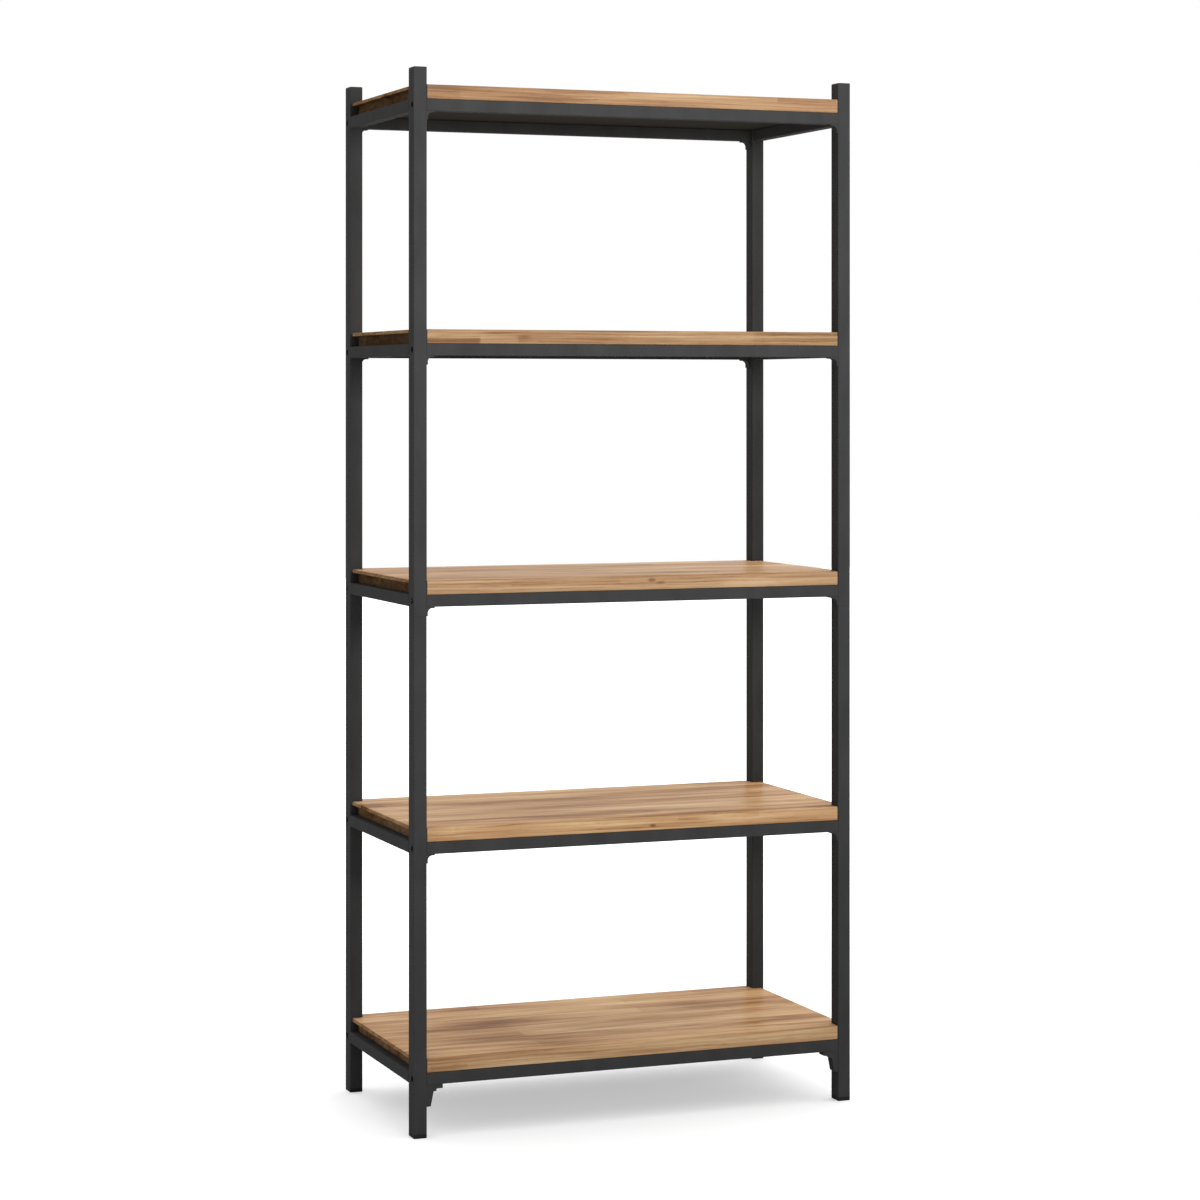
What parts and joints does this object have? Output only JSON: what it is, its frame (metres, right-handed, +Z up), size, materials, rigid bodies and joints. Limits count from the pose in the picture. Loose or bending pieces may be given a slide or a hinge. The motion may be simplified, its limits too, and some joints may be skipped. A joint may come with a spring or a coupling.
{
  "type": "standing shelving unit",
  "caption": "Tall open shelving unit: slim charcoal steel tube frame with corner brackets and thick solid wood boards resting on rails.",
  "frame": {"origin": "on the floor under the middle of the unit", "axes": "+Z up, -Y towards the front, +X towards the right as seen from the front"},
  "size_m": [0.8, 0.4, 1.78],
  "materials": {
    "powder_coated_steel": "satin charcoal powder coat",
    "charcoal_plastic": "satin, matched to the frame",
    "black_plastic": "matt black",
    "solid_wood": "satin lacquer over finger-jointed staves",
    "plain_steel": "drawn and left bare",
    "blackened_steel": "black oxide"
  },
  "bodies": {
    "root": {"post_front_left_lower": "powder_coated_steel", "post_front_left_upper": "powder_coated_steel", "post_joiner_front_left": "plain_steel", "foot_front_left": "black_plastic", "top_cap_front_left": "charcoal_plastic", "post_front_right_lower": "powder_coated_steel", "post_front_right_upper": "powder_coated_steel", "post_joiner_front_right": "plain_steel", "foot_front_right": "black_plastic", "top_cap_front_right": "charcoal_plastic", "post_rear_left_lower": "powder_coated_steel", "post_rear_left_upper": "powder_coated_steel", "post_joiner_rear_left": "plain_steel", "foot_rear_left": "black_plastic", "top_cap_rear_left": "charcoal_plastic", "post_rear_right_lower": "powder_coated_steel", "post_rear_right_upper": "powder_coated_steel", "post_joiner_rear_right": "plain_steel", "foot_rear_right": "black_plastic", "top_cap_rear_right": "charcoal_plastic", "front_rail_base": "powder_coated_steel", "rear_rail_base": "powder_coated_steel", "left_rail_base": "powder_coated_steel", "right_rail_base": "powder_coated_steel", "shelf_board_base": "solid_wood", "corner_brackets_base": "powder_coated_steel", "front_rail_lower": "powder_coated_steel", "rear_rail_lower": "powder_coated_steel", "left_rail_lower": "powder_coated_steel", "right_rail_lower": "powder_coated_steel", "shelf_board_lower": "solid_wood", "corner_brackets_lower": "powder_coated_steel", "front_rail_middle": "powder_coated_steel", "rear_rail_middle": "powder_coated_steel", "left_rail_middle": "powder_coated_steel", "right_rail_middle": "powder_coated_steel", "shelf_board_middle": "solid_wood", "corner_brackets_middle": "powder_coated_steel", "front_rail_upper": "powder_coated_steel", "rear_rail_upper": "powder_coated_steel", "left_rail_upper": "powder_coated_steel", "right_rail_upper": "powder_coated_steel", "shelf_board_upper": "solid_wood", "corner_brackets_upper": "powder_coated_steel", "front_rail_top": "powder_coated_steel", "rear_rail_top": "powder_coated_steel", "left_rail_top": "powder_coated_steel", "right_rail_top": "powder_coated_steel", "shelf_board_top": "solid_wood", "corner_brackets_top": "powder_coated_steel", "rail_bolts": "blackened_steel", "rail_nut_plates": "blackened_steel", "board_screws": "blackened_steel"}
  },
  "joints": []
}
